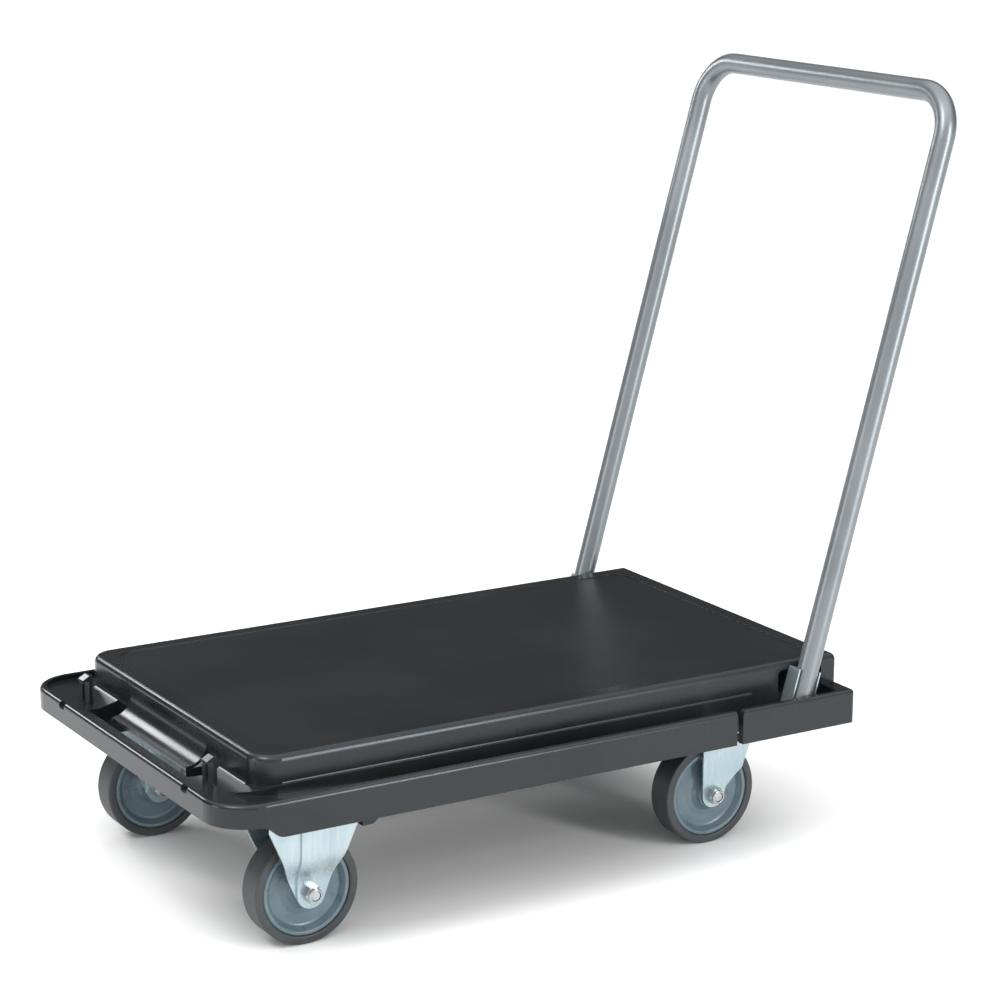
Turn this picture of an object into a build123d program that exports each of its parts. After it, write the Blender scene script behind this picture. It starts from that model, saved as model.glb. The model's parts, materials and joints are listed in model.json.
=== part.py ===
from build123d import *
import os
from math import asin, cos, degrees, radians, sin, sqrt, tan

os.makedirs("parts", exist_ok=True)

# Folding-handle platform truck, in millimetres. +Z is up and the floor is Z = 0.
# -X is the nose, +X is the handle end where the user stands, and left is -Y.

# Platform
platform_length = 826.0
platform_width = 533.0
rim_top = 192.0
skirt_bottom = 152.0
nose_skirt_bottom = 166.5
deck_top = 227.0
wall = 4.0
rim_wall = 9.0
lip_wall = 7.0
deck_nose_inset = 61.0
deck_side_inset = 40.0
inner_bottom = 160.0
rib_wall = 3.5

# Folding handle
tube_radius = 12.7
tube_bore_radius = 11.2
leg_y = 242.3
bend_radius = 53.0
handle_tilt = 15.7
handle_reach = 740.0
pivot_from_rear = 67.4
pivot_z = 169.9
pivot_radius = 5.0
tube_tail = 12.0
running_gap = 0.05
folded_bar_z = 200.5

# Wheels and casters
wheel_radius = 62.5
tyre_half = 17.0
tyre_seat_radius = 52.5
hub_half = 19.8
bush_radius = 10.0
sleeve_radius = 7.5
axle_radius = 6.0
fork_inner = 21.0
sheet = 3.0
mount_z = 155.0
rigid_from_nose = 125.0
rigid_y = 194.0
swivel_from_rear = 110.0
swivel_y = 162.0
swivel_trail = 35.0
bolt_pitch_x = 84.0
bolt_pitch_y = 50.0

# The origin is on the floor, under the middle of the box round the whole truck.
# The handle leans out past the platform, so the platform's middle is not at X = 0.
lean = radians(handle_tilt)
bar_past_rear = handle_reach * sin(lean) - pivot_from_rear + tube_radius
rear_x = (platform_length - bar_past_rear) / 2
nose_x = rear_x - platform_length
half_width = platform_width / 2
deck_nose_x = nose_x + deck_nose_inset
deck_half = half_width - deck_side_inset
channel_outer = half_width - rim_wall
pivot_x = rear_x - pivot_from_rear

# The folded handle lies almost level: the crossbar rests on the nose ledge.
bar_rise = folded_bar_z - pivot_z
folded_slope = bar_rise / sqrt(handle_reach**2 - bar_rise**2)
folded_bar_x = pivot_x - sqrt(handle_reach**2 - bar_rise**2)
fold_angle = 90 + handle_tilt - degrees(asin(bar_rise / handle_reach))
floor_gap = 0.4
rigid_x = nose_x + rigid_from_nose
swivel_x = rear_x - swivel_from_rear
sides = {"left": -1, "right": 1}


def save(part, name):
    """Label one finished piece and write it as its own STEP file."""
    part.label = name
    export_step(part, f"parts/{name}.step")


def side_plane(y):
    """Upright plane at this Y: local x is +X, local y is +Z, and it faces -Y."""
    return Plane.XZ.offset(-y)


def high_y(side, inner, outer):
    """The larger Y of a band between two distances from the middle, on one side."""
    return outer if side > 0 else -inner


def channel_floor(x):
    """Height of the ledge and channel floor, parallel to the folded handle."""
    return folded_bar_z - tube_radius - floor_gap - (x - folded_bar_x) * folded_slope


def leg_x(z, offset=0.0):
    """X of a line parallel to the raised leg, this far behind the leg's axis."""
    return pivot_x + (z - pivot_z) * tan(lean) + offset / cos(lean)


def plan_outline(x_front, x_rear, half, nose_radius, rear_radius):
    """Plan outline with one radius on the nose corners and one on the rear corners."""
    with BuildSketch() as outline:
        with Locations(((x_front + x_rear) / 2, 0)):
            Rectangle(x_rear - x_front, 2 * half)
        fillet(outline.vertices().group_by(Axis.X)[0], nose_radius)
        fillet(outline.vertices().group_by(Axis.X)[-1], rear_radius)
    return outline.sketch


# ---------------------------------------------------------------- platform moulding
nose_corner = 50.0
rear_corner = 7.0
deck_nose_corner = 28.0
deck_rear_corner = 4.0
rim_edge = 4.5
deck_edge = 7.5

rim_plan = plan_outline(nose_x, rear_x, half_width, nose_corner, rear_corner)
inner_plan = plan_outline(nose_x + lip_wall, rear_x - wall, channel_outer, nose_corner - lip_wall, 3.0)
deck_plan = plan_outline(deck_nose_x, rear_x, deck_half, deck_nose_corner, deck_rear_corner)
cavity_plan = plan_outline(
    deck_nose_x + wall, rear_x - wall, deck_half - wall, deck_nose_corner - wall, 2.0
)

# The well is where the legs stand: it has no floor, and its lower end wall is the stop.
well_start_x = rear_x - 208.0
channel_end_x = rear_x - 22.0
stop_step_z = 180.0
stop_offset = 20.0
floor_front_x = nose_x - 1
above_rim = rim_top + 1
below_skirt = skirt_bottom - 1

# Ledge and side channels, round the raised deck and open upwards.
with BuildPart() as moat:
    with BuildSketch(Plane.XY.offset(below_skirt)):
        add(inner_plan)
        add(deck_plan, mode=Mode.SUBTRACT)
    extrude(amount=above_rim - below_skirt)
    with BuildSketch(Plane.XZ):
        with BuildLine():
            Polyline(
                (floor_front_x, channel_floor(floor_front_x)),
                (floor_front_x, above_rim + 1),
                (channel_end_x, above_rim + 1),
                (channel_end_x, channel_floor(channel_end_x)),
                close=True,
            )
        make_face()
    extrude(amount=half_width, both=True, mode=Mode.INTERSECT)

# Space under the ledge and channel floors, open downwards.
with BuildPart() as under_moat:
    with BuildSketch(Plane.XY.offset(below_skirt)):
        add(inner_plan)
        add(deck_plan, mode=Mode.SUBTRACT)
    extrude(amount=above_rim - below_skirt)
    with BuildSketch(Plane.XZ):
        with BuildLine():
            Polyline(
                (floor_front_x, below_skirt - 1),
                (floor_front_x, channel_floor(floor_front_x) - wall),
                (well_start_x, channel_floor(well_start_x) - wall),
                (well_start_x, below_skirt - 1),
                close=True,
            )
        make_face()
    extrude(amount=half_width, both=True, mode=Mode.INTERSECT)

# The ledge climbs to the foot of the deck's nose wall, and a narrow step runs on from
# there along the deck's sides, as far as the swing of the handle's shoes.
foot_depth = 24.0
foot_z = 192.5
foot_radius = 5.0
foot_corner = 45.0
step_out = 2.2
step_radius = 2.0
step_top = 195.5
step_end_x = pivot_x - 56.0
foot_x_start = deck_nose_x - foot_depth
step_start_x = deck_nose_x + deck_nose_corner
foot_plan = plan_outline(foot_x_start, step_end_x, deck_half + step_out, foot_corner, 1.0)
with BuildPart() as deck_foot:
    with BuildSketch(Plane.XY.offset(inner_bottom)):
        add(foot_plan)
    extrude(amount=step_top - inner_bottom)
    with BuildSketch(Plane.XZ):
        with BuildLine():
            Polyline(
                (foot_x_start, channel_floor(foot_x_start) - wall / 2),
                (foot_x_start, channel_floor(foot_x_start)),
                (deck_nose_x, foot_z),
                (step_start_x, step_top),
                (step_end_x, step_top),
                (step_end_x, inner_bottom),
                (deck_nose_x + wall, inner_bottom),
                (deck_nose_x + wall, channel_floor(deck_nose_x) - wall / 2),
                close=True,
            )
        make_face()
    extrude(amount=half_width, both=True, mode=Mode.INTERSECT)
    with BuildSketch(side_plane(deck_half - deck_nose_corner)):
        with BuildLine():
            arc_low = (deck_nose_x - foot_radius, foot_z - 1.1)
            arc_high = (deck_nose_x, foot_z + foot_radius)
            ThreePointArc(arc_low, (deck_nose_x - 1.4, foot_z + 1.1), arc_high)
            Polyline(arc_high, (deck_nose_x + 1, foot_z + foot_radius), (deck_nose_x + 1, foot_z - 2), arc_low)
        make_face()
    extrude(amount=2 * (deck_half - deck_nose_corner))
    with BuildSketch(Plane(origin=(step_start_x, 0, 0), x_dir=(0, 1, 0), z_dir=(1, 0, 0))):
        with BuildLine():
            arc_low = (deck_half + step_radius, step_top)
            arc_high = (deck_half, step_top + step_radius)
            arc_middle = (deck_half + 0.293 * step_radius, step_top + 0.293 * step_radius)
            ThreePointArc(arc_low, arc_middle, arc_high)
            Polyline(arc_high, (deck_half - 1, step_top + step_radius), (deck_half - 1, step_top - 1))
            Polyline((deck_half - 1, step_top - 1), (deck_half + step_radius, step_top - 1), arc_low)
        make_face()
        mirror(about=Plane.YZ)
    extrude(amount=step_end_x - step_start_x)

# Hand-hold in the nose ledge, with a curved finger ramp down the deck's nose wall.
grip_inner_x = nose_x + 21.0
grip_half = 135.0
grip_flange_z = 172.0
ramp_half = 100.0
ramp_radius = 25.0
ramp_sheet = 3.5
ramp_centre_z = channel_floor(deck_nose_x) + ramp_radius
pocket_low_z = nose_skirt_bottom
pocket_sheet = 3.0

# Clips that hold the folded crossbar, one each side of the hand-hold.
clip_face_x = folded_bar_x + tube_radius + 0.4
clip_thick = 4.4
clip_finger_width = 13.0
clip_post_offset = 20.0
clip_post_width = 8.0
clip_start_y = {"left": -176.0, "right": 155.0}
clip_fit = 0.2
clip_length = clip_post_offset + clip_post_width
notch_z = 184.5
notch_depth = 7.5

# Casters bolt up against frames and bosses that stand down from the deck.
pad_length = 110.0
pad_width = 88.0
pad_top_side = 177.0
boss_radius = 10.0
screw_radius = 4.0
screw_depth = 17.0
foot_x = rigid_x + pad_length / 2
foot_inner_y = 196.0
foot_outer_y = 236.0
foot_bottom = 134.0

# Openings in the side walls by the handle, and the tray in the deck top.
window_front_x = rear_x - 85.0
window_low_z = 188.0
window_high_z = 218.0
slot_x = rear_x - 167.3
slot_width = 8.0
slot_corner = 6.0
slot_wall_top = 160.5
slot_skirt = 54.0
tray_inset = 24.0
tray_depth = 1.0
tray_corner = 22.0
caster_spots = {
    "front_left": (rigid_x, -rigid_y),
    "front_right": (rigid_x, rigid_y),
    "rear_left": (swivel_x, -swivel_y),
    "rear_right": (swivel_x, swivel_y),
}

with BuildPart() as platform:
    with BuildSketch(Plane.XY.offset(skirt_bottom)):
        add(rim_plan)
    extrude(amount=rim_top - skirt_bottom)
    fillet(platform.faces().sort_by(Axis.Z)[-1].edges(), rim_edge)
    with BuildSketch(Plane.XY.offset(skirt_bottom)):
        add(deck_plan)
    extrude(amount=deck_top - skirt_bottom)
    fillet(platform.faces().sort_by(Axis.Z)[-1].edges(), deck_edge)
    add(moat.part, mode=Mode.SUBTRACT)
    add(under_moat.part, mode=Mode.SUBTRACT)
    add(deck_foot.part)

    # Deck cavity and the raised bottoms of all the inner walls.
    with BuildSketch(Plane.XY.offset(below_skirt)):
        add(cavity_plan)
    extrude(amount=deck_top - wall - below_skirt, mode=Mode.SUBTRACT)
    with BuildSketch(Plane.XY.offset(below_skirt)):
        add(inner_plan)
    extrude(amount=inner_bottom - below_skirt, mode=Mode.SUBTRACT)

    # Ribs under the deck skin.
    cavity_length = rear_x - deck_nose_x - wall
    cavity_mid_x = (rear_x + deck_nose_x) / 2
    with BuildSketch(Plane.XY.offset(inner_bottom)):
        with GridLocations(1, 74, 1, 5):
            with Locations((cavity_mid_x, 0)):
                Rectangle(cavity_length, rib_wall)
        with Locations((cavity_mid_x, 0)):
            with GridLocations(85, 1, 8, 1):
                Rectangle(rib_wall, 2 * deck_half - wall)
    extrude(amount=deck_top - wall / 2 - inner_bottom)

    # Caster frames and bosses, as deep as the deck allows, and the feet behind the front ones.
    for pad_top, limits in ((pad_top_side, rim_plan), (deck_top - wall / 2, cavity_plan)):
        with BuildSketch(Plane.XY.offset(mount_z)):
            for pad_x, pad_y in caster_spots.values():
                with Locations((pad_x, pad_y)):
                    Rectangle(pad_length, pad_width)
                    Rectangle(pad_length - 2 * wall, pad_width - 2 * wall, mode=Mode.SUBTRACT)
                    with GridLocations(bolt_pitch_x, bolt_pitch_y, 2, 2):
                        Circle(boss_radius)
            add(limits, mode=Mode.INTERSECT)
        extrude(amount=pad_top - mount_z)
    for side in sides.values():
        with BuildSketch(side_plane(high_y(side, foot_inner_y, foot_outer_y))):
            with BuildLine():
                Polyline(
                    (foot_x, foot_bottom),
                    (foot_x + 13.0, foot_bottom),
                    (foot_x + 29.0, foot_bottom + 12.0),
                    (foot_x + 29.0, inner_bottom + 1),
                    (foot_x, inner_bottom + 1),
                    close=True,
                )
            make_face()
        extrude(amount=foot_outer_y - foot_inner_y)

    # Blind holes for the caster bolts.
    with BuildSketch(Plane.XY.offset(mount_z)):
        for pad_x, pad_y in caster_spots.values():
            with Locations((pad_x, pad_y)):
                with GridLocations(bolt_pitch_x, bolt_pitch_y, 2, 2):
                    Circle(screw_radius + clip_fit)
    extrude(amount=screw_depth, mode=Mode.SUBTRACT)

    # Wells for the handle's legs, with a leaning stop face at their lower end, the
    # side windows in the deck wall behind them, the pivot holes and the rim slots.
    for side in sides.values():
        with BuildSketch(side_plane(high_y(side, deck_half + step_out, channel_outer))):
            with BuildLine():
                Polyline(
                    (well_start_x, below_skirt),
                    (well_start_x, above_rim),
                    (channel_end_x, above_rim),
                    (channel_end_x, stop_step_z),
                    (leg_x(stop_step_z, stop_offset), stop_step_z),
                    (leg_x(below_skirt, stop_offset), below_skirt),
                    close=True,
                )
            make_face()
        extrude(amount=channel_outer - deck_half - step_out, mode=Mode.SUBTRACT)
        with BuildSketch(side_plane(high_y(side, deck_half, channel_outer))):
            with Locations(((step_end_x + channel_end_x) / 2, (skirt_bottom + rim_top) / 2)):
                Rectangle(channel_end_x - step_end_x, rim_top - skirt_bottom)
            with BuildLine():
                Polyline(
                    (leg_x(stop_step_z, stop_offset), stop_step_z),
                    (channel_end_x + 1, stop_step_z),
                    (channel_end_x + 1, below_skirt),
                    (leg_x(below_skirt, stop_offset), below_skirt),
                    close=True,
                )
            make_face(mode=Mode.SUBTRACT)
        extrude(amount=step_out, mode=Mode.SUBTRACT)
        with BuildSketch(side_plane(high_y(side, deck_half - wall - 1, deck_half + 1))):
            with Locations(((window_front_x + channel_end_x) / 2, (window_low_z + window_high_z) / 2)):
                RectangleRounded(channel_end_x - window_front_x, window_high_z - window_low_z, 7)
        extrude(amount=wall + 2, mode=Mode.SUBTRACT)
        with BuildSketch(side_plane(high_y(side, deck_half - wall - 1, deck_half + 1))):
            with Locations((pivot_x, pivot_z)):
                Circle(pivot_radius + 0.1)
        extrude(amount=wall + 2, mode=Mode.SUBTRACT)
        with BuildSketch(side_plane(high_y(side, channel_outer - 1, half_width + 1))):
            with Locations((slot_x, (rim_top + skirt_bottom) / 2)):
                Rectangle(slot_width, rim_top - skirt_bottom + 4)
            with Locations((slot_x + slot_width / 2 + slot_corner / 2, rim_top - slot_corner / 2)):
                Rectangle(slot_corner, slot_corner)
            with Locations((slot_x + slot_width / 2 + slot_corner, rim_top - slot_corner)):
                Circle(slot_corner, mode=Mode.SUBTRACT)
        extrude(amount=rim_wall + 2, mode=Mode.SUBTRACT)

    # Raised skirt across the nose, with an S-curve down to the side skirts.
    with BuildSketch(side_plane(half_width + 1)):
        with BuildLine():
            low_start = (nose_x - 2, skirt_bottom - 2)
            rise_start = (nose_x + 73.0, skirt_bottom - 2)
            rise_low = (nose_x + 73.0, skirt_bottom)
            rise_high = (nose_x + 42.0, nose_skirt_bottom)
            Polyline((nose_x - 2, nose_skirt_bottom), low_start, rise_start, rise_low)
            Spline(rise_low, rise_high, tangents=((-1, 0), (-1, 0)))
            Line(rise_high, (nose_x - 2, nose_skirt_bottom))
        make_face()
    extrude(amount=platform_width + 2, mode=Mode.SUBTRACT)

    # Hand-hold: an opening in the ledge, a turned-down grip edge and the finger ramp.
    with BuildSketch(Plane.XY.offset(below_skirt)):
        with Locations(((grip_inner_x + deck_nose_x) / 2, 0)):
            Rectangle(deck_nose_x - grip_inner_x, 2 * grip_half)
    extrude(amount=above_rim - below_skirt, mode=Mode.SUBTRACT)
    with BuildSketch(Plane.XY.offset(grip_flange_z)):
        with Locations((grip_inner_x - wall / 2, 0)):
            Rectangle(wall, 2 * grip_half)
    extrude(amount=channel_floor(grip_inner_x) - 1 - grip_flange_z)
    with BuildSketch(side_plane(ramp_half)):
        with Locations((deck_nose_x - ramp_radius, ramp_centre_z)):
            Circle(ramp_radius + ramp_sheet)
            Circle(ramp_radius, mode=Mode.SUBTRACT)
        with Locations((deck_nose_x - ramp_radius + 20, ramp_centre_z - 20)):
            Rectangle(40, 40, mode=Mode.INTERSECT)
    extrude(amount=2 * ramp_half)

    # Pockets that close the hand-hold's two ends: a floor, an end wall and a front wall.
    for side in sides.values():
        pocket_front_x = grip_inner_x - wall
        for inner, outer, front, low, high in (
            (ramp_half - 2, grip_half + pocket_sheet, pocket_front_x, pocket_low_z, pocket_low_z + pocket_sheet),
            (grip_half, grip_half + pocket_sheet, pocket_front_x, pocket_low_z, channel_floor(deck_nose_x) - 1),
            (ramp_half - 2, ramp_half + 0.5, grip_inner_x + 14, pocket_low_z, channel_floor(deck_nose_x) - 3),
        ):
            with BuildSketch(side_plane(high_y(side, inner, outer))):
                with Locations(((front + deck_nose_x + 1) / 2, (low + high) / 2)):
                    Rectangle(deck_nose_x + 1 - front, high - low)
            extrude(amount=outer - inner)
        with BuildSketch(side_plane(high_y(side, ramp_half - 2, grip_half + 1))):
            with Locations((grip_inner_x - wall / 2, (pocket_low_z + grip_flange_z + 1) / 2)):
                Rectangle(wall, grip_flange_z + 1 - pocket_low_z)
        extrude(amount=grip_half + 3 - ramp_half)

    # Low walls and a deeper deck wall that close the wells' lower part behind each rim slot.
    for side in sides.values():
        with BuildSketch(side_plane(high_y(side, deck_half - 1, channel_outer + 1))):
            with Locations((slot_x + slot_width / 2 + 2.5, (skirt_bottom + slot_wall_top) / 2)):
                Rectangle(3.0, slot_wall_top - skirt_bottom)
        extrude(amount=channel_outer - deck_half + 2)
        with BuildSketch(side_plane(high_y(side, deck_half - wall, deck_half))):
            with Locations((slot_x + slot_skirt / 2 - slot_width, (skirt_bottom + inner_bottom + 1) / 2)):
                Rectangle(slot_skirt, inner_bottom + 1 - skirt_bottom)
        extrude(amount=wall)

    # Notches in the nose lip, level with the clips, and the clips' own holes.
    for start_y in clip_start_y.values():
        with BuildSketch(Plane.XY.offset(notch_z)):
            with Locations((nose_x + notch_depth / 2 - 0.5, start_y + clip_finger_width / 2)):
                Rectangle(notch_depth + 1, clip_finger_width + 1)
        extrude(amount=above_rim - notch_z, mode=Mode.SUBTRACT)
        with BuildSketch(Plane.XY.offset(nose_skirt_bottom)):
            with Locations((clip_face_x + clip_thick / 2, start_y + clip_length / 2)):
                Rectangle(clip_thick + 2 * clip_fit, clip_length + 2 * clip_fit)
        extrude(amount=above_rim - nose_skirt_bottom, mode=Mode.SUBTRACT)

    # Shallow tray in the deck top.
    with BuildSketch(Plane.XY.offset(deck_top - tray_depth)):
        with Locations(((deck_nose_x + rear_x) / 2, 0)):
            RectangleRounded(rear_x - deck_nose_x - 2 * tray_inset, 2 * (deck_half - tray_inset), tray_corner)
    extrude(amount=tray_depth + 1, mode=Mode.SUBTRACT)
save(platform.part, "platform")

# ---------------------------------------------------------------- nose clips
clip_foot = 2.5
clip_base_z = channel_floor(clip_face_x + clip_thick + clip_foot) - wall - 0.1
clip_hook_z = folded_bar_z + 13.0
clip_hook_height = 7.0
clip_hook_reach = 9.0
clip_post_top = channel_floor(clip_face_x) + 19.0


def make_clip(name, start_y):
    """Snap clip: a barbed finger that holds the crossbar, and a shorter stop post."""
    top_z = clip_hook_z + clip_hook_height
    back_x = clip_face_x + clip_thick
    foot_z = clip_base_z - clip_foot
    with BuildPart() as clip:
        with BuildSketch(side_plane(start_y + clip_finger_width)):
            with BuildLine():
                Polyline(
                    (clip_face_x, foot_z),
                    (clip_face_x, clip_hook_z),
                    (clip_face_x - clip_hook_reach, clip_hook_z + 0.8),
                    (clip_face_x - clip_hook_reach + 1.5, clip_hook_z + 2.5),
                    (clip_face_x + 0.8, top_z),
                    (back_x, top_z),
                    (back_x, foot_z),
                    close=True,
                )
            make_face()
        extrude(amount=clip_finger_width)
        with BuildSketch(side_plane(start_y + clip_length)):
            with Locations(((clip_face_x + back_x) / 2, (foot_z + clip_post_top) / 2)):
                Rectangle(clip_thick, clip_post_top - foot_z)
        extrude(amount=clip_post_width)
        with BuildSketch(Plane.XY.offset(foot_z)):
            with Locations(((clip_face_x + back_x) / 2, start_y + clip_length / 2)):
                Rectangle(clip_thick + 2 * clip_foot, clip_length + 2 * clip_foot)
        extrude(amount=clip_foot)
        with BuildSketch(Plane.XY.offset(foot_z)):
            with Locations(((clip_face_x + back_x) / 2, start_y + clip_length / 2)):
                Rectangle(clip_thick, clip_length)
        extrude(amount=clip_foot + wall)
        fillet(clip.edges().filter_by(Axis.Z).group_by(Axis.Z)[-1], 0.8)
    save(clip.part, name)


for side_name, start_y in clip_start_y.items():
    make_clip(f"handle_clip_{side_name}", start_y)

# ---------------------------------------------------------------- folding handle
leg_plane = Plane(origin=(pivot_x, 0, pivot_z), x_dir=(0, 1, 0), z_dir=(cos(lean), 0, -sin(lean)))
rivet_up = 33.0
rivet_radius = 3.0
rivet_head = 1.5
rivet_seat = tube_bore_radius - 1.0


def leg_point(up, back=0.0):
    """(x, z) of a point so far up the raised leg from its pivot and behind its axis."""
    return (
        pivot_x + up * sin(lean) + back * cos(lean),
        pivot_z + up * cos(lean) - back * sin(lean),
    )


with BuildPart() as handle_tube:
    with BuildLine(leg_plane):
        path = FilletPolyline(
            (-leg_y, -tube_tail),
            (-leg_y, handle_reach),
            (leg_y, handle_reach),
            (leg_y, -tube_tail),
            radius=bend_radius,
        )
    with BuildSketch(Plane(origin=path @ 0, z_dir=path % 0)):
        Circle(tube_radius)
        Circle(tube_bore_radius, mode=Mode.SUBTRACT)
    sweep(path=path)
    with BuildSketch(Plane.XZ):
        with Locations((pivot_x, pivot_z)):
            Circle(pivot_radius + running_gap)
    extrude(amount=leg_y + 2 * tube_radius, both=True, mode=Mode.SUBTRACT)
    with BuildSketch(Plane.XZ):
        with Locations(leg_point(rivet_up)):
            Circle(rivet_radius)
    extrude(amount=leg_y, both=True, mode=Mode.SUBTRACT)
save(handle_tube.part, "handle_tube")

# Pressed steel channel on each leg's lower end, open towards the rim.
shoe_half = 16.5
shoe_sheet = 2.0
shoe_top = 50.0
shoe_web_out = leg_y - tube_radius - 0.2
shoe_web_in = shoe_web_out - shoe_sheet
shoe_flange_y = leg_y + 5.0


def make_shoe(name, side):
    """Handle foot: a web beside the leg with a rounded lower end, and a flange fore and aft."""
    with BuildPart() as shoe:
        for half, inner, outer, mode in (
            (shoe_half, shoe_web_in, shoe_flange_y, Mode.ADD),
            (shoe_half - shoe_sheet, shoe_web_out, shoe_flange_y + 1, Mode.SUBTRACT),
        ):
            with BuildSketch(side_plane(high_y(side, inner, outer))):
                with BuildLine():
                    corner_a = leg_point(0, -half)
                    corner_b = leg_point(shoe_top + (1 if mode == Mode.SUBTRACT else 0), -half)
                    corner_c = leg_point(shoe_top + (1 if mode == Mode.SUBTRACT else 0), half)
                    corner_d = leg_point(0, half)
                    Polyline(corner_a, corner_b, corner_c, corner_d)
                    ThreePointArc(corner_d, leg_point(-half), corner_a)
                make_face()
            extrude(amount=outer - inner, mode=mode)
        with BuildSketch(side_plane(high_y(side, shoe_web_out, shoe_flange_y + 1))):
            with BuildLine():
                Polyline(
                    leg_point(-shoe_half - 1, -shoe_half),
                    leg_point(-1, -shoe_half - 1),
                    leg_point(-1, shoe_half + 1),
                    leg_point(-shoe_half - 1, shoe_half),
                    close=True,
                )
            make_face()
        extrude(amount=shoe_flange_y + 1 - shoe_web_out, mode=Mode.SUBTRACT)
        with BuildSketch(side_plane(high_y(side, shoe_web_in, shoe_web_out))):
            with Locations((pivot_x, pivot_z)):
                Circle(pivot_radius + running_gap)
            with Locations(leg_point(rivet_up)):
                Circle(rivet_radius)
        extrude(amount=shoe_sheet, mode=Mode.SUBTRACT)
    save(shoe.part, name)


def make_disc_stack(name, x, z, side, steps):
    """Round piece along Y from (radius, near, far) steps, measured out from the middle."""
    with BuildPart() as turned:
        for radius, near, far in steps:
            with BuildSketch(side_plane(high_y(side, near, far))):
                with Locations((x, z)):
                    Circle(radius)
            extrude(amount=far - near)
    save(turned.part, name)


bush_half = 8.5
bolt_head_y = leg_y + tube_radius + 0.3
bolt_head = 1.7
plate_out = deck_half - wall
plate_in = plate_out - 3.0
plate_length = 54.0
nut_height = 8.0
nut_in = plate_in - nut_height
for side_name, side in sides.items():
    make_shoe(f"handle_shoe_{side_name}", side)
    make_disc_stack(
        f"pivot_bolt_{side_name}",
        pivot_x,
        pivot_z,
        side,
        (
            (pivot_radius, nut_in - 3, bolt_head_y + 0.5),
            (9.0, bolt_head_y, bolt_head_y + bolt_head),
        ),
    )
    with BuildPart() as bush:
        with BuildSketch(side_plane(side * leg_y + bush_half)):
            with Locations((pivot_x, pivot_z)):
                Circle(7.0)
                Circle(pivot_radius + running_gap, mode=Mode.SUBTRACT)
        extrude(amount=2 * bush_half)
    save(bush.part, f"pivot_bush_{side_name}")
    with BuildPart() as pivot_plate:
        with BuildSketch(side_plane(high_y(side, plate_in, plate_out))):
            with Locations((pivot_x + plate_length / 4, (inner_bottom + window_low_z) / 2)):
                RectangleRounded(plate_length, window_low_z - inner_bottom - 2, 5)
            with Locations((pivot_x, pivot_z)):
                Circle(pivot_radius + 0.1, mode=Mode.SUBTRACT)
        extrude(amount=plate_out - plate_in)
    save(pivot_plate.part, f"pivot_plate_{side_name}")
    with BuildPart() as pivot_nut:
        with BuildSketch(side_plane(high_y(side, nut_in, plate_in))):
            with Locations((pivot_x, pivot_z)):
                RegularPolygon(8.5, 6, major_radius=False)
                Circle(pivot_radius + 0.02, mode=Mode.SUBTRACT)
        extrude(amount=nut_height)
    save(pivot_nut.part, f"pivot_nut_{side_name}")

with BuildPart() as shoe_rivets:
    rivet_spot = leg_point(rivet_up)
    for side in sides.values():
        for radius, near, far in (
            (rivet_radius - 0.02, shoe_web_in, leg_y - rivet_seat + 0.5),
            (rivet_radius + 1.2, leg_y - rivet_seat, leg_y - rivet_seat + rivet_head),
        ):
            with BuildSketch(side_plane(high_y(side, near, far))):
                with Locations(rivet_spot):
                    Circle(radius)
            extrude(amount=far - near)
save(shoe_rivets.part, "shoe_rivets")

# ---------------------------------------------------------------- wheels
tyre_corner = 2.0
fit_gap = 0.02
axle_hexagon = 18.0
axle_tail = 9.8
nut_collar = 11.0


def axle_plane(x, y):
    """Plane through a wheel's middle: local x is up the wheel, local y is along its axle."""
    return Plane(origin=(x, y, wheel_radius), x_dir=(0, 0, 1), z_dir=(-1, 0, 0))


def turn_about_axle(profile, x, y):
    """Revolve a closed (radius, side) half profile, mirrored to both sides of the wheel."""
    plane = axle_plane(x, y)
    with BuildPart() as turned:
        with BuildSketch(plane):
            with BuildLine():
                Polyline(*profile, *[(r, -s) for r, s in reversed(profile)], close=True)
            make_face()
        revolve(axis=Axis((x, y, wheel_radius), (0, 1, 0)))
    return turned.part


def make_wheel(tag, x, y):
    """Rubber tyre on a dished hub, with a plain bush pressed into the hub's bore."""
    hub_profile = (
        (bush_radius + fit_gap, hub_half),
        (15.5, hub_half),
        (17.0, hub_half - 0.8),
        (19.0, 14.5),
        (23.0, 10.0),
        (30.0, 8.0),
        (41.0, 7.8),
        (43.0, 8.6),
        (46.6, 13.6),
        (47.6, 15.2),
        (48.6, 15.9),
        (50.9, 15.9),
        (51.9, 15.2),
        (tyre_seat_radius - fit_gap, 14.4),
    )
    save(turn_about_axle(hub_profile, x, y), f"{tag}_hub")
    tyre_profile = (
        (tyre_seat_radius, 15.0),
        (tyre_seat_radius + 0.8, tyre_half - 0.6),
        (tyre_seat_radius + 2.0, tyre_half),
        (wheel_radius - tyre_corner, tyre_half),
        (wheel_radius - 0.7, tyre_half - 0.6),
        (wheel_radius, tyre_half - tyre_corner),
    )
    save(turn_about_axle(tyre_profile, x, y), f"{tag}_tyre")
    with BuildPart() as bush:
        with BuildSketch(side_plane(y + hub_half)):
            with Locations((x, wheel_radius)):
                Circle(bush_radius)
                Circle(sleeve_radius + running_gap, mode=Mode.SUBTRACT)
        extrude(amount=2 * hub_half)
    save(bush.part, f"{tag}_bush")


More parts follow.
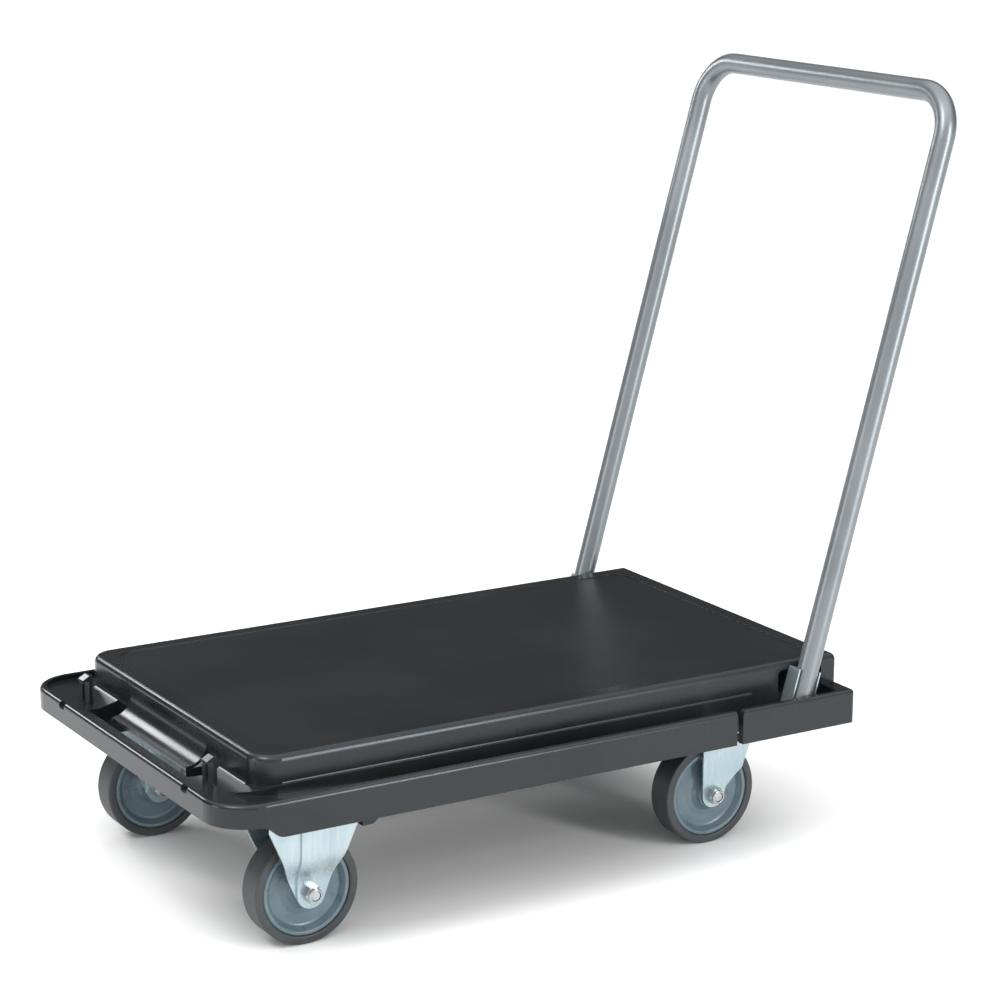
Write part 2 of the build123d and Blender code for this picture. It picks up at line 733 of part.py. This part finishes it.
def hexagon_head(origin, outward, across, height):
    """Hexagon from a seat, standing out along Y, with the corners of its far face turned off."""
    plane = Plane(origin=origin, x_dir=(1, 0, 0), z_dir=(0, outward, 0))
    far_side = Axis(origin, (0, outward, 0))
    with BuildPart() as blank:
        with BuildSketch(plane):
            Circle(across / sqrt(3) + 0.2)
        extrude(amount=height)
        chamfer(blank.faces().sort_by(far_side)[-1].edges(), 1.3)
    with BuildPart() as head:
        with BuildSketch(plane):
            RegularPolygon(across / 2, 6, major_radius=False)
        extrude(amount=height)
        add(blank.part, mode=Mode.INTERSECT)
    return head.part


def make_axle(tag, x, y, seat):
    """Axle bolt, lock nut and spacer sleeve; seat is how far out the nut and head sit."""
    with BuildPart() as sleeve:
        with BuildSketch(side_plane(y + fork_inner - 0.1)):
            with Locations((x, wheel_radius)):
                Circle(sleeve_radius)
                Circle(axle_radius + 0.1, mode=Mode.SUBTRACT)
        extrude(amount=2 * (fork_inner - 0.1))
    save(sleeve.part, f"{tag}_axle_sleeve")
    with BuildPart() as bolt:
        with BuildSketch(side_plane(y + seat + 1)):
            with Locations((x, wheel_radius)):
                Circle(axle_radius)
        extrude(amount=2 * seat + 1 + axle_tail)
        fillet(bolt.edges().filter_by(GeomType.CIRCLE).group_by(Axis.Y)[0], 1.0)
        add(hexagon_head((x, y + seat, wheel_radius), 1, axle_hexagon, 7.5))
    save(bolt.part, f"{tag}_axle_bolt")
    with BuildPart() as nut:
        add(hexagon_head((x, y - seat, wheel_radius), -1, axle_hexagon, 8.0))
        with BuildSketch(side_plane(y - seat)):
            with Locations((x, wheel_radius)):
                Circle(8.2)
        extrude(amount=nut_collar)
        fillet(nut.edges().filter_by(GeomType.CIRCLE).group_by(Axis.Y)[0], 1.2)
        with BuildSketch(side_plane(y - seat + 1)):
            with Locations((x, wheel_radius)):
                Circle(axle_radius + fit_gap)
        extrude(amount=nut_collar + 2, mode=Mode.SUBTRACT)
    save(nut.part, f"{tag}_axle_nut")


def make_screws(tag, x, y):
    """Four hexagon screws that hold a caster's plate up against its frame."""
    with BuildPart() as screws:
        with BuildSketch(Plane.XY.offset(mount_z - sheet - 5.3)):
            with Locations((x, y)):
                with GridLocations(bolt_pitch_x, bolt_pitch_y, 2, 2):
                    RegularPolygon(6.5, 6, major_radius=False)
        extrude(amount=5.3)
        with BuildSketch(Plane.XY.offset(mount_z - sheet - 1)):
            with Locations((x, y)):
                with GridLocations(bolt_pitch_x, bolt_pitch_y, 2, 2):
                    Circle(screw_radius)
        extrude(amount=screw_depth + sheet)
    save(screws.part, f"{tag}_plate_screws")


# ---------------------------------------------------------------- rigid casters
plate_half_x = 54.0
fork_corner = 57.0
fork_end_radius = 17.5
fork_low_z = 40.0
leg_low_z = 72.0
leg_full_z = 112.0
leg_full = 33.5
leg_shoulder = 35.0
panel_rise = 2.7
panel_front = 17.0
panel_flat = 12.5
panel_rear = 27.0
panel_top_z = mount_z - 4.0


def leg_curve(outward):
    """Edges of one face of a dished leg, from the shoulder down to the lower end."""
    low = (fork_inner + outward, leg_low_z)
    full = (leg_full + outward, leg_full_z)
    lean_in = (leg_full - leg_shoulder, leg_full_z - mount_z)
    Line((leg_shoulder + outward, mount_z), full)
    Spline(full, low, tangents=(lean_in, (0, -1)))
    Line(low, (fork_inner + outward, fork_low_z))


def panel_section(x, y, side, rise):
    """Section of the raised middle panel at this X, on one leg."""
    plane = Plane(origin=(x, y, 0), x_dir=(0, side, 0), z_dir=(side, 0, 0))
    with BuildSketch(plane) as section:
        with BuildLine():
            leg_curve(sheet + rise)
            Line((fork_inner + sheet + rise, fork_low_z), (fork_inner + 1, fork_low_z))
            leg_curve(1.0)
            Line((leg_shoulder + 1, mount_z), (leg_shoulder + sheet + rise, mount_z))
        make_face()
    return section.sketch


def fork_outline(x, y, top_half):
    """Side view of a rigid fork's leg, as a prism right across the caster."""
    with BuildPart() as outline:
        with BuildSketch(side_plane(y + 60)):
            with Locations((x, wheel_radius)):
                Circle(fork_end_radius)
            with Locations((x, mount_z - 2)):
                Rectangle(2 * top_half, 8)
            make_hull()
        extrude(amount=120)
    return outline.part


def make_rigid_fork(tag, x, y):
    """Fixed fork pressed from one sheet: top plate, dished legs and a raised middle panel."""
    outline = fork_outline(x, y, fork_corner)
    with BuildPart() as panels:
        for side in sides.values():
            first = panel_section(x - panel_front, y, side, panel_rise)
            middle = panel_section(x + panel_flat, y, side, panel_rise)
            last = panel_section(x + panel_rear, y, side, -0.1)
            loft([*first.faces(), *middle.faces()], ruled=True)
            loft([*middle.faces(), *last.faces()], ruled=True)
        with BuildSketch(Plane.XY.offset(panel_top_z)):
            with Locations((x, y)):
                Rectangle(2 * plate_half_x, 120)
        extrude(amount=10, mode=Mode.SUBTRACT)
        add(outline, mode=Mode.INTERSECT)
    with BuildPart() as fork:
        fork_start = Plane(origin=(x - plate_half_x, y, 0), x_dir=(0, 1, 0), z_dir=(1, 0, 0))
        with BuildSketch(fork_start):
            with BuildLine():
                leg_curve(sheet)
                Line((fork_inner + sheet, fork_low_z), (fork_inner, fork_low_z))
                leg_curve(0.0)
                Line((leg_shoulder, mount_z), (leg_shoulder + sheet, mount_z))
            make_face()
            with Locations((leg_shoulder / 2, mount_z - sheet / 2)):
                Rectangle(leg_shoulder + 1, sheet)
            mirror(about=Plane.YZ)
        extrude(amount=2 * plate_half_x)
        add(outline, mode=Mode.INTERSECT)
        fillet(fork.edges().filter_by(Axis.X).group_by(Axis.Z)[-1], 2.5)
        add(panels.part)
        with BuildSketch(side_plane(y + 60)):
            with Locations((x, wheel_radius)):
                Circle(axle_radius + 0.2)
        extrude(amount=120, mode=Mode.SUBTRACT)
        with BuildSketch(Plane.XY.offset(mount_z - sheet - 1)):
            with Locations((x, y)):
                with GridLocations(bolt_pitch_x, bolt_pitch_y, 2, 2):
                    Circle(screw_radius + 0.3)
        extrude(amount=sheet + 2, mode=Mode.SUBTRACT)
    save(fork.part, f"{tag}_fork")


# ---------------------------------------------------------------- swivel casters
crown_low_z = 129.0
crown_sheet = 4.0
race_low_z = 139.0
race_high_z = 145.6
ball_radius = 3.2
ball_count = 14
ball_circle = 24.5
race_radius = 30.0
race_bore = 18.0
crown_radius = 33.0
kingpin_radius = 6.0
fork_back = 15.5
fork_crease = 18.0
fork_sweep = ((17.5, 70.0), (32.0, 82.5), (42.0, 89.5), (48.5, 107.0), (58.0, crown_low_z + 1))


def make_swivel_fork(tag, x, y):
    """Swivelling fork: a round crown on the swivel axis and two swept-back legs."""
    pin_x = x + swivel_trail
    leg_out = fork_inner + sheet
    with BuildPart() as fork:
        for side in sides.values():
            with BuildSketch(Plane.XY.offset(fork_low_z)):
                with BuildLine():
                    Polyline(
                        (x - fork_back - 1, y + side * leg_out),
                        (x + fork_crease, y + side * leg_out),
                        (x + 62, y + side * (leg_out - 3)),
                        (x + 62, y + side * (fork_inner - 3)),
                        (x + fork_crease, y + side * fork_inner),
                        (x - fork_back - 1, y + side * fork_inner),
                        close=True,
                    )
                make_face()
            extrude(amount=crown_low_z + crown_sheet - fork_low_z)
        with BuildSketch(side_plane(y + 60)):
            with BuildLine():
                Polyline(
                    (x - fork_back, wheel_radius),
                    (x - fork_back, crown_low_z + crown_sheet),
                    (x + fork_sweep[-1][0], crown_low_z + crown_sheet),
                    *[(x + u, v) for u, v in reversed(fork_sweep)],
                    (x + fork_back, wheel_radius),
                )
                ThreePointArc(
                    (x + fork_back, wheel_radius),
                    (x, wheel_radius - fork_back),
                    (x - fork_back, wheel_radius),
                )
            make_face()
        extrude(amount=120, mode=Mode.INTERSECT)
        with BuildSketch(Plane.XY.offset(crown_low_z)):
            with Locations((pin_x, y)):
                Circle(crown_radius)
            with Locations((x, y)):
                Rectangle(2 * fork_back, 2 * leg_out)
            make_hull()
        extrude(amount=crown_sheet)
        with BuildSketch(Plane.XY.offset(crown_low_z)):
            with Locations((pin_x, y)):
                Circle(race_radius)
        extrude(amount=race_low_z - crown_low_z)
        with BuildSketch(Plane.XY.offset(crown_low_z + crown_sheet)):
            with Locations((pin_x, y)):
                Circle(race_bore)
        extrude(amount=race_low_z - crown_low_z, mode=Mode.SUBTRACT)
        with BuildSketch(Plane.XY.offset(crown_low_z - 1)):
            with Locations((pin_x, y)):
                Circle(kingpin_radius + running_gap)
        extrude(amount=crown_sheet + 2, mode=Mode.SUBTRACT)
        with BuildSketch(side_plane(y + 60)):
            with Locations((x, wheel_radius)):
                Circle(axle_radius + 0.2)
        extrude(amount=120, mode=Mode.SUBTRACT)
    save(fork.part, f"{tag}_fork")


def make_swivel_head(tag, x, y):
    """Top plate with the upper race, the balls, a dust ring, the kingpin and its nut."""
    pin_x = x + swivel_trail
    plate_low = mount_z - sheet
    with BuildPart() as plate:
        with BuildSketch(Plane.XY.offset(plate_low)):
            with Locations((pin_x, y)):
                RectangleRounded(2 * plate_half_x, pad_width - 2, 6)
                with GridLocations(bolt_pitch_x, bolt_pitch_y, 2, 2):
                    Circle(screw_radius + 0.3, mode=Mode.SUBTRACT)
        extrude(amount=sheet)
        with BuildSketch(Plane.XY.offset(race_high_z)):
            with Locations((pin_x, y)):
                Circle(race_radius)
        extrude(amount=plate_low - race_high_z)
        with BuildSketch(Plane.XY.offset(race_high_z - 1)):
            with Locations((pin_x, y)):
                Circle(kingpin_radius + 0.1)
        extrude(amount=mount_z - race_high_z + 2, mode=Mode.SUBTRACT)
    save(plate.part, f"{tag}_top_plate")
    with BuildPart() as balls:
        with Locations((pin_x, y, (race_low_z + race_high_z) / 2)):
            with PolarLocations(ball_circle, ball_count):
                Sphere(ball_radius)
    save(balls.part, f"{tag}_balls")
    with BuildPart() as dust_ring:
        with BuildSketch(Plane.XY.offset(crown_low_z + crown_sheet + 1.5)):
            with Locations((pin_x, y)):
                Circle(race_radius + 2.6)
                Circle(race_radius + 1.1, mode=Mode.SUBTRACT)
        extrude(amount=plate_low - crown_low_z - crown_sheet - 1.5)
    save(dust_ring.part, f"{tag}_dust_ring")
    with BuildPart() as kingpin:
        with BuildSketch(Plane.XY.offset(120)):
            with Locations((pin_x, y)):
                Circle(kingpin_radius)
        extrude(amount=mount_z - 119)
        with BuildSketch(Plane.XY.offset(mount_z)):
            with Locations((pin_x, y)):
                Circle(13)
        extrude(amount=4)
    save(kingpin.part, f"{tag}_kingpin")
    with BuildPart() as kingpin_nut:
        with BuildSketch(Plane.XY.offset(121.5)):
            with Locations((pin_x, y)):
                RegularPolygon(9.0, 6, major_radius=False)
                Circle(kingpin_radius + fit_gap, mode=Mode.SUBTRACT)
        extrude(amount=7)
    save(kingpin_nut.part, f"{tag}_kingpin_nut")


for tag, (spot_x, spot_y) in caster_spots.items():
    if tag.startswith("front"):
        wheel_x = spot_x
        make_rigid_fork(tag, wheel_x, spot_y)
        make_axle(tag, wheel_x, spot_y, fork_inner + sheet + panel_rise)
    else:
        wheel_x = spot_x - swivel_trail
        make_swivel_fork(tag, wheel_x, spot_y)
        make_swivel_head(tag, wheel_x, spot_y)
        make_axle(tag, wheel_x, spot_y, fork_inner + sheet)
    make_wheel(tag, wheel_x, spot_y)
    make_screws(tag, spot_x, spot_y)
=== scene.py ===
import json
import math

import bpy
from mathutils import Matrix, Vector

# A folding-handle platform truck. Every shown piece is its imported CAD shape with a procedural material, one
# for each material slot in the record. Lengths are in metres, in the CAD's frame: the nose is -X, the handle
# end is +X, the near side in the photo is -Y, and the floor is z = 0.
mm = 0.001
micron = 0.000001

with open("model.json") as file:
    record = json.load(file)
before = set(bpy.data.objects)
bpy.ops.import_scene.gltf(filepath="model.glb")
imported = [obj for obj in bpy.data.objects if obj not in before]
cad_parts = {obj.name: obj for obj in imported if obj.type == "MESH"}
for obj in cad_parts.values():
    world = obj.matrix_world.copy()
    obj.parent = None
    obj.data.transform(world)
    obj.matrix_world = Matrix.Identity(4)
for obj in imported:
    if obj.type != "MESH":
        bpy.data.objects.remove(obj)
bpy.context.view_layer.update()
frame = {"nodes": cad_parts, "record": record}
record = frame["record"]
scene = bpy.context.scene

mounts = {mount["name"]: mount for mount in record["mounts"]}
tray_floor = mounts["deck_top"]["pos_m"][2]


# ---------------------------------------------------------------- node helpers
class Tree:
    """Short calls that add nodes to a material's or the world's node tree."""

    def __init__(self, tree, coordinates):
        self.tree = tree
        self.coords = self.add("ShaderNodeTexCoord").outputs[coordinates]

    def add(self, kind, **values):
        node = self.tree.nodes.new(kind)
        for key, value in values.items():
            setattr(node, key, value)
        return node

    def feed(self, socket, value):
        """Link another node's output to the socket, or set the socket to a constant."""
        if isinstance(value, bpy.types.NodeSocket):
            self.tree.links.new(value, socket)
        elif socket.type == "RGBA":
            socket.default_value = (*value, 1.0)
        else:
            socket.default_value = value

    def feed_all(self, node, values):
        for name, value in values.items():
            self.feed(node.inputs[name], value)

    def ranged(self, source, low, high, to_low=0.0, to_high=1.0):
        """Source from low..high mapped smoothly to to_low..to_high, and held there."""
        node = self.add("ShaderNodeMapRange", interpolation_type="SMOOTHSTEP")
        ends = {"From Min": low, "From Max": high, "To Min": to_low, "To Max": to_high}
        self.feed_all(node, {"Value": source, **ends})
        return node.outputs["Result"]

    def math(self, operation, a, b, clamp=False):
        node = self.add("ShaderNodeMath", operation=operation, use_clamp=clamp)
        self.feed_all(node, {0: a, 1: b})
        return node.outputs["Value"]

    def plus(self, a, b):
        return self.math("ADD", a, b)

    def times(self, a, b, clamp=False):
        return self.math("MULTIPLY", a, b, clamp)

    def dot(self, a, b):
        node = self.add("ShaderNodeVectorMath", operation="DOT_PRODUCT")
        self.feed_all(node, {0: a, 1: b})
        return node.outputs["Value"]


class Surface(Tree):
    """One material's nodes, in the coordinates of the piece that wears it."""

    def __init__(self, name):
        self.material = bpy.data.materials.new(name)
        self.material.use_nodes = True
        super().__init__(self.material.node_tree, "Object")
        self.shader = self.tree.nodes["Principled BSDF"]

    def stretched(self, scale):
        """The piece's coordinates, multiplied by a different number on each axis."""
        node = self.add("ShaderNodeMapping")
        self.feed_all(node, {"Vector": self.coords, "Scale": scale})
        return node.outputs["Vector"]

    def height(self):
        node = self.add("ShaderNodeSeparateXYZ")
        self.feed(node.inputs[0], self.coords)
        return node.outputs["Z"]

    def noise(self, scale, detail=4.0, rough=0.5, coords=None, distortion=0.0):
        node = self.add("ShaderNodeTexNoise")
        look = {"Scale": scale, "Detail": detail, "Roughness": rough, "Distortion": distortion}
        self.feed_all(node, {"Vector": coords or self.coords, **look})
        return node.outputs["Fac"]

    def cells(self, scale):
        node = self.add("ShaderNodeTexVoronoi")
        self.feed_all(node, {"Vector": self.coords, "Scale": scale})
        return node.outputs["Distance"]

    def mix(self, factor, a, b):
        """Colour a turning into colour b as the factor goes from 0 to 1."""
        node = self.add("ShaderNodeMix", data_type="RGBA", blend_type="MIX")
        self.feed_all(node, {0: factor, 6: a, 7: b})
        return node.outputs[2]

    def rounded(self, radius):
        """The normal that the piece would have with its edges rounded to this radius."""
        node = self.add("ShaderNodeBevel", samples=4)
        self.feed(node.inputs["Radius"], radius)
        return node.outputs["Normal"]

    def edges(self, radius, gain):
        """Towards 1 within the radius of the piece's sharp edges, 0 on its flat faces."""
        normal = self.add("ShaderNodeNewGeometry").outputs["Normal"]
        turn = self.math("SUBTRACT", 1.0, self.dot(self.rounded(radius), normal))
        return self.times(turn, gain, clamp=True)

    def bump(self, layers, edge_radius=None):
        """A chain of bumps from (height, distance, strength), over rounded edges if a radius is given."""
        normal = self.rounded(edge_radius) if edge_radius else None
        for height, distance, strength in layers:
            node = self.add("ShaderNodeBump")
            self.feed_all(node, {"Height": height, "Distance": distance, "Strength": strength})
            if normal:
                self.feed(node.inputs["Normal"], normal)
            normal = node.outputs["Normal"]
        self.feed(self.shader.inputs["Normal"], normal)

    def finish(self, color, roughness, **constants):
        """Feed the shader, and return the material."""
        self.feed_all(self.shader, {"Base Color": color, "Roughness": roughness})
        self.feed_all(self.shader, {name.replace("_", " "): value for name, value in constants.items()})
        return self.material


# ---------------------------------------------------------------- materials
def moulded_black(name):
    """Semi-gloss black plastic: fine grain, faint flow clouds, and paler edges that are partly rub wear and
    partly a painted edge highlight.

    The deck's sunk tray is a little duller, and pebbled.
    """
    s = Surface(name)
    flow = s.noise(5.0, detail=3, rough=0.55)
    grain = s.noise(1500.0, detail=2, rough=0.6)
    speck = s.noise(420.0, detail=2, rough=0.7)
    scuff = s.ranged(s.noise(60.0, detail=6, rough=0.7), 0.52, 0.70)
    # Paler edges: rub wear where the scuff noise is high, and a painted edge highlight on every sharp edge.
    rub_wear_and_edge_highlight = s.times(s.edges(0.8 * mm, gain=5.0), s.ranged(scuff, 0.0, 1.0, 0.25, 0.9))

    height = s.height()
    above_floor = s.ranged(height, tray_floor - 0.6 * mm, tray_floor - 0.4 * mm)
    below_lip = s.ranged(height, tray_floor + 0.4 * mm, tray_floor + 0.6 * mm, 1.0, 0.0)
    tray = s.times(above_floor, below_lip)
    pebble = s.times(s.cells(700.0), tray)

    color = s.mix(s.ranged(flow, 0.35, 0.65), (0.0085, 0.0098, 0.0108), (0.0125, 0.0142, 0.0155))
    color = s.mix(s.ranged(speck, 0.66, 0.76, 0.0, 0.3), color, (0.028, 0.030, 0.032))
    # Lightens the edges: partly rub wear, partly painted highlight.
    color = s.mix(s.times(rub_wear_and_edge_highlight, 0.5), color, (0.050, 0.054, 0.058))
    color = s.mix(s.times(tray, 0.45), color, (0.006, 0.007, 0.008))
    rough = s.plus(s.ranged(flow, 0.3, 0.7, 0.20, 0.25), s.ranged(grain, 0.3, 0.7, -0.02, 0.04))
    rough = s.plus(rough, s.times(rub_wear_and_edge_highlight, 0.12))
    rough = s.plus(rough, s.times(tray, 0.10))
    layers = [(grain, 50 * micron, 0.25), (flow, 1.0 * mm, 0.04), (pebble, 0.2 * mm, 0.35)]
    s.bump(layers, edge_radius=0.5 * mm)
    return s.finish(color, rough, Specular_IOR_Level=0.41, Specular_Tint=(0.86, 0.94, 1.0))


def powder_coat(name):
    """Silver-grey paint on tube: metallic flake, orange peel, a few darker rub marks."""
    s = Surface(name)
    tone = s.noise(7.0, detail=3)
    flake = s.noise(2600.0, detail=1, rough=0.4)
    peel = s.noise(420.0, detail=2, rough=0.5)
    rub = s.ranged(s.noise(26.0, detail=7, rough=0.72, distortion=0.6), 0.62, 0.76)
    color = s.mix(s.ranged(tone, 0.35, 0.65), (0.165, 0.184, 0.198), (0.205, 0.225, 0.240))
    color = s.mix(s.ranged(flake, 0.40, 0.62, 0.0, 0.25), color, (0.32, 0.345, 0.36))
    color = s.mix(s.times(rub, 0.25), color, (0.12, 0.13, 0.14))
    rough = s.plus(s.ranged(tone, 0.3, 0.7, 0.33, 0.38), s.times(rub, 0.10))
    s.bump([(peel, 60 * micron, 0.25), (flake, 20 * micron, 0.20)])
    return s.finish(color, rough, Metallic=0.70, Specular_IOR_Level=0.5)


def zinc_sheet(name):
    """Blue zinc plate on pressed sheet: soft clouding, faint upright rolling lines, and a painted highlight
    along the edges.
    """
    s = Surface(name)
    cloud = s.noise(13.0, detail=3, rough=0.5)
    lines = s.noise(30.0, detail=4, rough=0.55, coords=s.stretched((6.0, 6.0, 0.5)))
    spangle = s.cells(240.0)
    color = s.mix(s.ranged(cloud, 0.30, 0.70), (0.33, 0.42, 0.455), (0.44, 0.51, 0.535))
    color = s.mix(s.ranged(lines, 0.38, 0.66, 0.0, 0.35), color, (0.27, 0.385, 0.435))
    color = s.mix(s.ranged(spangle, 0.0, 0.7, 0.05, 0.0), color, (0.30, 0.39, 0.45))
    # Painted highlight: the sheet's edges are lightened towards pale zinc.
    color = s.mix(s.times(s.edges(0.7 * mm, gain=5.0), 0.5), color, (0.62, 0.67, 0.69))
    rough = s.plus(s.ranged(cloud, 0.3, 0.7, 0.22, 0.30), s.ranged(lines, 0.3, 0.7, -0.02, 0.04))
    s.bump([(lines, 80 * micron, 0.12), (cloud, 1.2 * mm, 0.10)], edge_radius=0.5 * mm)
    return s.finish(color, rough, Metallic=0.80)


def plated_steel(name):
    """Zinc-plated fasteners: turning marks, darker plating in patches, and a painted highlight on the
    corners.
    """
    s = Surface(name)
    patch = s.noise(120.0, detail=4, rough=0.6)
    turning = s.noise(900.0, detail=2, coords=s.stretched((1.0, 0.2, 1.0)))
    color = s.mix(s.ranged(patch, 0.35, 0.65), (0.34, 0.36, 0.37), (0.44, 0.46, 0.47))
    # Painted highlight: the corners are lightened almost to white.
    color = s.mix(s.times(s.edges(0.4 * mm, gain=4.0), 0.6), color, (0.84, 0.86, 0.87))
    rough = s.plus(s.ranged(patch, 0.3, 0.7, 0.16, 0.24), s.ranged(turning, 0.3, 0.7, -0.02, 0.04))
    s.bump([(turning, 30 * micron, 0.25)], edge_radius=0.3 * mm)
    return s.finish(color, rough, Metallic=0.92)


def bearing_steel(name):
    """Polished balls with a thin smear of grease."""
    s = Surface(name)
    smear = s.noise(260.0, detail=5, rough=0.65, distortion=0.8)
    color = s.mix(s.ranged(smear, 0.45, 0.62), (0.62, 0.63, 0.64), (0.30, 0.27, 0.20))
    s.bump([(smear, 50 * micron, 0.3)])
    return s.finish(color, s.ranged(smear, 0.40, 0.62, 0.08, 0.34), Metallic=0.95)


def nylon(name):
    """Natural nylon: milky, faintly mottled, a little translucent."""
    s = Surface(name)
    mottle = s.noise(160.0, detail=4, rough=0.6)
    fine = s.noise(1400.0, detail=2)
    color = s.mix(s.ranged(mottle, 0.35, 0.65), (0.60, 0.59, 0.54), (0.74, 0.73, 0.68))
    rough = s.ranged(mottle, 0.3, 0.7, 0.38, 0.50)
    s.bump([(fine, 50 * micron, 0.3)])
    return s.finish(color, rough, Subsurface_Weight=0.12, Subsurface_Scale=2 * mm)


def hub_plastic(name):
    """Blue-grey moulded hub: soft flow clouds, fine grain, a little dust, and a painted highlight on the
    rims.
    """
    s = Surface(name)
    flow = s.noise(24.0, detail=4, rough=0.55, distortion=0.4)
    grain = s.noise(1700.0, detail=2, rough=0.6)
    dust = s.ranged(s.noise(85.0, detail=6, rough=0.7), 0.55, 0.75)
    color = s.mix(s.ranged(flow, 0.35, 0.65), (0.082, 0.124, 0.150), (0.108, 0.154, 0.180))
    color = s.mix(s.times(dust, 0.10), color, (0.30, 0.34, 0.36))
    # Painted highlight: the rims and edges are lightened towards pale blue-grey.
    color = s.mix(s.times(s.edges(1.4 * mm, gain=4.0), 0.40), color, (0.46, 0.55, 0.60))
    rough = s.plus(s.ranged(flow, 0.3, 0.7, 0.26, 0.33), s.times(dust, 0.10))
    s.bump([(grain, 60 * micron, 0.35), (flow, 0.6 * mm, 0.08)], edge_radius=0.8 * mm)
    return s.finish(color, rough, Specular_IOR_Level=0.55)


def tyre_rubber(name):
    """Dark grey rubber: dry bloom, pale scuffs, rubbed edges and fine pits."""
    s = Surface(name)
    bloom = s.noise(18.0, detail=5, rough=0.6)
    pits = s.noise(900.0, detail=3, rough=0.7)
    scuff = s.ranged(s.noise(70.0, detail=7, rough=0.75), 0.52, 0.72)
    color = s.mix(s.ranged(bloom, 0.35, 0.65), (0.024, 0.028, 0.031), (0.040, 0.045, 0.049))
    color = s.mix(s.times(scuff, 0.28), color, (0.105, 0.112, 0.116))
    color = s.mix(s.times(s.edges(1.2 * mm, gain=3.0), 0.18), color, (0.11, 0.115, 0.12))
    rough = s.plus(s.ranged(bloom, 0.3, 0.7, 0.44, 0.54), s.times(scuff, 0.14))
    s.bump([(pits, 0.12 * mm, 0.35), (bloom, 0.5 * mm, 0.10)])
    return s.finish(color, rough, Specular_IOR_Level=0.45)


makers = {
    "black_plastic": moulded_black,
    "handle_paint": powder_coat,
    "zinc_sheet": zinc_sheet,
    "bolt_steel": plated_steel,
    "ball_steel": bearing_steel,
    "nylon": nylon,
    "hub_plastic": hub_plastic,
    "tyre_rubber": tyre_rubber,
}
materials = {slot: make(slot) for slot, make in makers.items()}
for row in record["subparts"]:
    mesh = frame["nodes"][row["node"]].data
    mesh.materials.clear()
    mesh.materials.append(materials[row["material_slot"]])


# ---------------------------------------------------------------- floor
def paper_floor(half):
    """A plain pale square of matt paper, this far out on each side."""
    mesh = bpy.data.meshes.new("floor")
    corners = [(-half, -half, 0), (half, -half, 0), (half, half, 0), (-half, half, 0)]
    mesh.from_pydata(corners, [], [range(len(corners))])
    floor = bpy.data.objects.new("floor", mesh)
    scene.collection.objects.link(floor)
    s = Surface("floor_paper")
    fibre = s.noise(3.0, detail=4)
    color = s.mix(s.ranged(fibre, 0.3, 0.7), (0.90, 0.90, 0.90), (0.92, 0.92, 0.92))
    mesh.materials.append(s.finish(color, s.ranged(fibre, 0.3, 0.7, 0.75, 0.85), Specular_IOR_Level=0.2))


paper_floor(half=40.0)


# ---------------------------------------------------------------- light
def soft_tent():
    """A world of soft light: bright overhead and on the photographer's side, dark low down behind."""
    world = bpy.data.worlds.new("studio")
    world.use_nodes = True
    sky = Tree(world.node_tree, "Generated")
    overhead = sky.ranged(sky.dot(sky.coords, (0.0, 0.0, 1.0)), 0.50, 0.88, 0.0, 1.7)
    front = sky.ranged(sky.dot(sky.coords, (-0.35, -0.94, 0.0)), -0.10, 0.80, 0.10, 1.0)
    background = world.node_tree.nodes["Background"]
    sky.feed_all(background, {"Color": (1.0, 1.0, 1.0), "Strength": sky.plus(overhead, front)})
    scene.world = world


def softbox(name, place, aim, size, power):
    """A rectangular area light at place, turned towards aim."""
    data = bpy.data.lights.new(name, "AREA")
    data.shape = "RECTANGLE"
    data.size, data.size_y = size
    data.energy = power
    light = bpy.data.objects.new(name, data)
    light.location = place
    light.rotation_euler = (Vector(aim) - Vector(place)).to_track_quat("-Z", "Y").to_euler()
    scene.collection.objects.link(light)


soft_tent()
# The key light stands high over the nose. The nose light fills the front wall, the strip draws the handle's
# bright streak, and the edge light, low behind the far side, draws the lines along the nose's edges.
softbox("key", place=(-1.9, -0.6, 2.9), aim=(0.0, 0.0, 0.3), size=(1.4, 1.4), power=50.0)
softbox("nose", place=(-3.6, 0.6, 0.9), aim=(-0.4, 0.0, 0.2), size=(1.0, 1.4), power=22.0)
softbox("strip", place=(1.3, -3.2, 1.2), aim=(0.2, 0.0, 0.4), size=(0.5, 2.2), power=60.0)
softbox("edge", place=(-0.95, 2.9, 1.75), aim=(-0.3, 0.0, 0.2), size=(1.0, 0.6), power=24.0)
scene.view_settings.view_transform = "Standard"


# ---------------------------------------------------------------- camera
def orbit_camera(aim, distance, azimuth, elevation, roll, lens, sensor_width=36.0):
    """A camera this far from aim. Azimuth goes from -Y towards +X, and angles are in degrees."""
    azimuth, elevation, roll = (math.radians(angle) for angle in (azimuth, elevation, roll))
    level = math.cos(elevation)
    back = Vector((math.sin(azimuth) * level, -math.cos(azimuth) * level, math.sin(elevation)))
    data = bpy.data.cameras.new("camera")
    data.lens = lens
    data.sensor_width = sensor_width
    camera = bpy.data.objects.new("camera", data)
    camera.location = Vector(aim) + back * distance
    camera.rotation_mode = "QUATERNION"
    level_view = (-back).to_track_quat("-Z", "Y")
    camera.rotation_quaternion = level_view @ Matrix.Rotation(roll, 4, "Z").to_quaternion()
    scene.collection.objects.link(camera)
    return camera


# Fitted to the photo from the platform's length and width.
scene.camera = orbit_camera(
    aim=(0.00935, 0.0, 0.40654),
    distance=3.38267,
    azimuth=-31.29,
    elevation=13.94,
    roll=0.26,
    lens=103.16,
)
